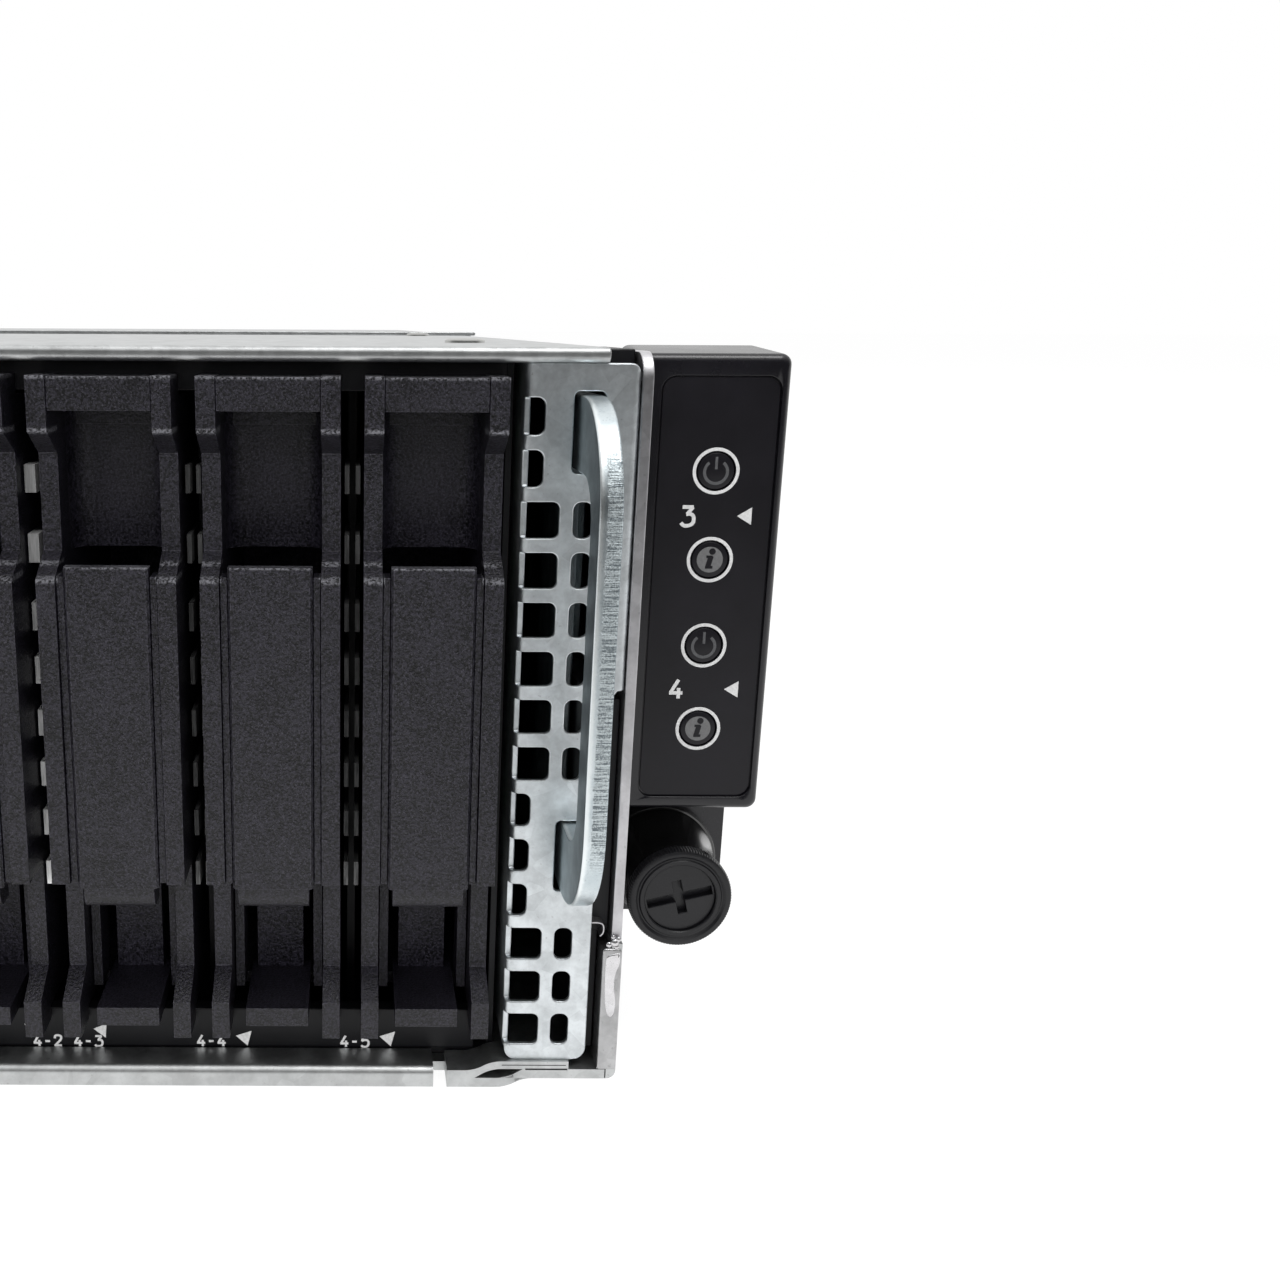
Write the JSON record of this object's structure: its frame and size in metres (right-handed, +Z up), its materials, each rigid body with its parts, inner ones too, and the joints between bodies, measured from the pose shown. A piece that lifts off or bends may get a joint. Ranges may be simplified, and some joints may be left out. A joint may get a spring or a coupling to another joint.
{
  "type": "multi-node rack server",
  "caption": "Low rack enclosure for slide-in server nodes: front drive bays closed by moulded blanks, pull handles, eared control panels with keys, and plug-in rear power supplies.",
  "frame": {"origin": "centre of the footprint, on the underside of the tray", "axes": "+X to the right seen from the front, +Y to the rear, +Z up"},
  "size_m": [0.4826, 0.79, 0.0868],
  "materials": {
    "galvanised_steel": "zinc spangle, satin",
    "sled_steel": "zinc, satin",
    "supply_case": "plated, satin",
    "black_plastic": "fine grain",
    "satin_black": "satin",
    "gloss_black": "gloss",
    "circuit_board": "solder mask"
  },
  "bodies": {
    "enclosure": {"chassis_tray": "galvanised_steel", "front_cover": "galvanised_steel", "rear_cover": "galvanised_steel", "sled_cage": "galvanised_steel", "drive_cage": "galvanised_steel", "drive_backplane": "circuit_board", "fan_cage": "black_plastic", "midplane": "circuit_board", "right_grille": "galvanised_steel", "left_grille": "galvanised_steel", "right_handle": "galvanised_steel", "left_handle": "galvanised_steel", "right_ear_bracket": "galvanised_steel", "left_ear_bracket": "galvanised_steel", "right_panel_housing": "satin_black", "left_panel_housing": "satin_black"},
    "sled_1": {"sled_1": "sled_steel"},
    "sled_2": {"sled_2": "sled_steel"},
    "sled_3": {"sled_3": "sled_steel"},
    "sled_4": {"sled_4": "sled_steel"},
    "power_supply_1": {"power_supply_1": "supply_case"},
    "power_supply_2": {"power_supply_2": "supply_case"},
    "blank_1_0": {"blank_1_0": "black_plastic"},
    "blank_1_1": {"blank_1_1": "black_plastic"},
    "blank_1_2": {"blank_1_2": "black_plastic"},
    "blank_1_3": {"blank_1_3": "black_plastic"},
    "blank_1_4": {"blank_1_4": "black_plastic"},
    "blank_1_5": {"blank_1_5": "black_plastic"},
    "blank_2_0": {"blank_2_0": "black_plastic"},
    "blank_2_1": {"blank_2_1": "black_plastic"},
    "blank_2_2": {"blank_2_2": "black_plastic"},
    "blank_2_3": {"blank_2_3": "black_plastic"},
    "blank_2_4": {"blank_2_4": "black_plastic"},
    "blank_2_5": {"blank_2_5": "black_plastic"},
    "blank_3_0": {"blank_3_0": "black_plastic"},
    "blank_3_1": {"blank_3_1": "black_plastic"},
    "blank_3_2": {"blank_3_2": "black_plastic"},
    "blank_3_3": {"blank_3_3": "black_plastic"},
    "blank_3_4": {"blank_3_4": "black_plastic"},
    "blank_3_5": {"blank_3_5": "black_plastic"},
    "blank_4_0": {"blank_4_0": "black_plastic"},
    "blank_4_1": {"blank_4_1": "black_plastic"},
    "blank_4_2": {"blank_4_2": "black_plastic"},
    "blank_4_3": {"blank_4_3": "black_plastic"},
    "blank_4_4": {"blank_4_4": "black_plastic"},
    "blank_4_5": {"blank_4_5": "black_plastic"},
    "right_button_1": {"right_button_1": "satin_black"},
    "right_button_2": {"right_button_2": "satin_black"},
    "right_button_3": {"right_button_3": "satin_black"},
    "right_button_4": {"right_button_4": "satin_black"},
    "left_button_1": {"left_button_1": "satin_black"},
    "left_button_2": {"left_button_2": "satin_black"},
    "left_button_3": {"left_button_3": "satin_black"},
    "left_button_4": {"left_button_4": "satin_black"},
    "right_thumbscrew": {"right_thumbscrew": "gloss_black"},
    "left_thumbscrew": {"left_thumbscrew": "gloss_black"},
    "fan_rotor_1": {"fan_rotor_1": "black_plastic"},
    "fan_rotor_2": {"fan_rotor_2": "black_plastic"},
    "fan_rotor_3": {"fan_rotor_3": "black_plastic"},
    "fan_rotor_4": {"fan_rotor_4": "black_plastic"}
  },
  "joints": [
    {"name": "sled_4_slide", "type": "slide", "parent": "enclosure", "child": "sled_4", "axis": [0, 1, 0], "range_m": [0, 0.58]},
    {"name": "sled_3_slide", "type": "slide", "parent": "enclosure", "child": "sled_3", "axis": [0, 1, 0], "range_m": [0, 0.58]},
    {"name": "sled_2_slide", "type": "slide", "parent": "enclosure", "child": "sled_2", "axis": [0, 1, 0], "range_m": [0, 0.58]},
    {"name": "sled_1_slide", "type": "slide", "parent": "enclosure", "child": "sled_1", "axis": [0, 1, 0], "range_m": [0, 0.58]},
    {"name": "power_supply_2_slide", "type": "slide", "parent": "enclosure", "child": "power_supply_2", "axis": [0, 1, 0], "range_m": [0, 0.26]},
    {"name": "power_supply_1_slide", "type": "slide", "parent": "enclosure", "child": "power_supply_1", "axis": [0, 1, 0], "range_m": [0, 0.26]},
    {"name": "blank_4_5_slide", "type": "slide", "parent": "enclosure", "child": "blank_4_5", "axis": [0, -1, 0], "range_m": [0, 0.1]},
    {"name": "blank_4_4_slide", "type": "slide", "parent": "enclosure", "child": "blank_4_4", "axis": [0, -1, 0], "range_m": [0, 0.1]},
    {"name": "blank_4_3_slide", "type": "slide", "parent": "enclosure", "child": "blank_4_3", "axis": [0, -1, 0], "range_m": [0, 0.1]},
    {"name": "blank_4_2_slide", "type": "slide", "parent": "enclosure", "child": "blank_4_2", "axis": [0, -1, 0], "range_m": [0, 0.1]},
    {"name": "blank_4_1_slide", "type": "slide", "parent": "enclosure", "child": "blank_4_1", "axis": [0, -1, 0], "range_m": [0, 0.1]},
    {"name": "blank_4_0_slide", "type": "slide", "parent": "enclosure", "child": "blank_4_0", "axis": [0, -1, 0], "range_m": [0, 0.1]},
    {"name": "blank_3_5_slide", "type": "slide", "parent": "enclosure", "child": "blank_3_5", "axis": [0, -1, 0], "range_m": [0, 0.1]},
    {"name": "blank_3_4_slide", "type": "slide", "parent": "enclosure", "child": "blank_3_4", "axis": [0, -1, 0], "range_m": [0, 0.1]},
    {"name": "blank_3_3_slide", "type": "slide", "parent": "enclosure", "child": "blank_3_3", "axis": [0, -1, 0], "range_m": [0, 0.1]},
    {"name": "blank_3_2_slide", "type": "slide", "parent": "enclosure", "child": "blank_3_2", "axis": [0, -1, 0], "range_m": [0, 0.1]},
    {"name": "blank_3_1_slide", "type": "slide", "parent": "enclosure", "child": "blank_3_1", "axis": [0, -1, 0], "range_m": [0, 0.1]},
    {"name": "blank_3_0_slide", "type": "slide", "parent": "enclosure", "child": "blank_3_0", "axis": [0, -1, 0], "range_m": [0, 0.1]},
    {"name": "blank_2_5_slide", "type": "slide", "parent": "enclosure", "child": "blank_2_5", "axis": [0, -1, 0], "range_m": [0, 0.1]},
    {"name": "blank_2_4_slide", "type": "slide", "parent": "enclosure", "child": "blank_2_4", "axis": [0, -1, 0], "range_m": [0, 0.1]},
    {"name": "blank_2_3_slide", "type": "slide", "parent": "enclosure", "child": "blank_2_3", "axis": [0, -1, 0], "range_m": [0, 0.1]},
    {"name": "blank_2_2_slide", "type": "slide", "parent": "enclosure", "child": "blank_2_2", "axis": [0, -1, 0], "range_m": [0, 0.1]},
    {"name": "blank_2_1_slide", "type": "slide", "parent": "enclosure", "child": "blank_2_1", "axis": [0, -1, 0], "range_m": [0, 0.1]},
    {"name": "blank_2_0_slide", "type": "slide", "parent": "enclosure", "child": "blank_2_0", "axis": [0, -1, 0], "range_m": [0, 0.1]},
    {"name": "blank_1_5_slide", "type": "slide", "parent": "enclosure", "child": "blank_1_5", "axis": [0, -1, 0], "range_m": [0, 0.1]},
    {"name": "blank_1_4_slide", "type": "slide", "parent": "enclosure", "child": "blank_1_4", "axis": [0, -1, 0], "range_m": [0, 0.1]},
    {"name": "blank_1_3_slide", "type": "slide", "parent": "enclosure", "child": "blank_1_3", "axis": [0, -1, 0], "range_m": [0, 0.1]},
    {"name": "blank_1_2_slide", "type": "slide", "parent": "enclosure", "child": "blank_1_2", "axis": [0, -1, 0], "range_m": [0, 0.1]},
    {"name": "blank_1_1_slide", "type": "slide", "parent": "enclosure", "child": "blank_1_1", "axis": [0, -1, 0], "range_m": [0, 0.1]},
    {"name": "blank_1_0_slide", "type": "slide", "parent": "enclosure", "child": "blank_1_0", "axis": [0, -1, 0], "range_m": [0, 0.1]},
    {"name": "right_button_1_slide", "type": "slide", "parent": "enclosure", "child": "right_button_1", "axis": [0, 1, 0], "range_m": [0, 0.0008], "stiffness_N_per_m": 2500},
    {"name": "right_button_2_slide", "type": "slide", "parent": "enclosure", "child": "right_button_2", "axis": [0, 1, 0], "range_m": [0, 0.0008], "stiffness_N_per_m": 2500},
    {"name": "right_button_3_slide", "type": "slide", "parent": "enclosure", "child": "right_button_3", "axis": [0, 1, 0], "range_m": [0, 0.0008], "stiffness_N_per_m": 2500},
    {"name": "right_button_4_slide", "type": "slide", "parent": "enclosure", "child": "right_button_4", "axis": [0, 1, 0], "range_m": [0, 0.0008], "stiffness_N_per_m": 2500},
    {"name": "left_button_1_slide", "type": "slide", "parent": "enclosure", "child": "left_button_1", "axis": [0, 1, 0], "range_m": [0, 0.0008], "stiffness_N_per_m": 2500},
    {"name": "left_button_2_slide", "type": "slide", "parent": "enclosure", "child": "left_button_2", "axis": [0, 1, 0], "range_m": [0, 0.0008], "stiffness_N_per_m": 2500},
    {"name": "left_button_3_slide", "type": "slide", "parent": "enclosure", "child": "left_button_3", "axis": [0, 1, 0], "range_m": [0, 0.0008], "stiffness_N_per_m": 2500},
    {"name": "left_button_4_slide", "type": "slide", "parent": "enclosure", "child": "left_button_4", "axis": [0, 1, 0], "range_m": [0, 0.0008], "stiffness_N_per_m": 2500},
    {"name": "right_thumbscrew_turn", "type": "hinge", "parent": "enclosure", "child": "right_thumbscrew", "pos_m": [0.23255, -0.362, 0.0206], "axis": [0, 1, 0], "continuous": true},
    {"name": "left_thumbscrew_turn", "type": "hinge", "parent": "enclosure", "child": "left_thumbscrew", "pos_m": [-0.23255, -0.362, 0.0206], "axis": [0, 1, 0], "continuous": true},
    {"name": "fan_rotor_1_spin", "type": "hinge", "parent": "enclosure", "child": "fan_rotor_1", "pos_m": [-0.15, -0.232, 0.042], "axis": [0, 1, 0], "continuous": true},
    {"name": "fan_rotor_2_spin", "type": "hinge", "parent": "enclosure", "child": "fan_rotor_2", "pos_m": [-0.05, -0.232, 0.042], "axis": [0, 1, 0], "continuous": true},
    {"name": "fan_rotor_3_spin", "type": "hinge", "parent": "enclosure", "child": "fan_rotor_3", "pos_m": [0.05, -0.232, 0.042], "axis": [0, 1, 0], "continuous": true},
    {"name": "fan_rotor_4_spin", "type": "hinge", "parent": "enclosure", "child": "fan_rotor_4", "pos_m": [0.15, -0.232, 0.042], "axis": [0, 1, 0], "continuous": true}
  ]
}
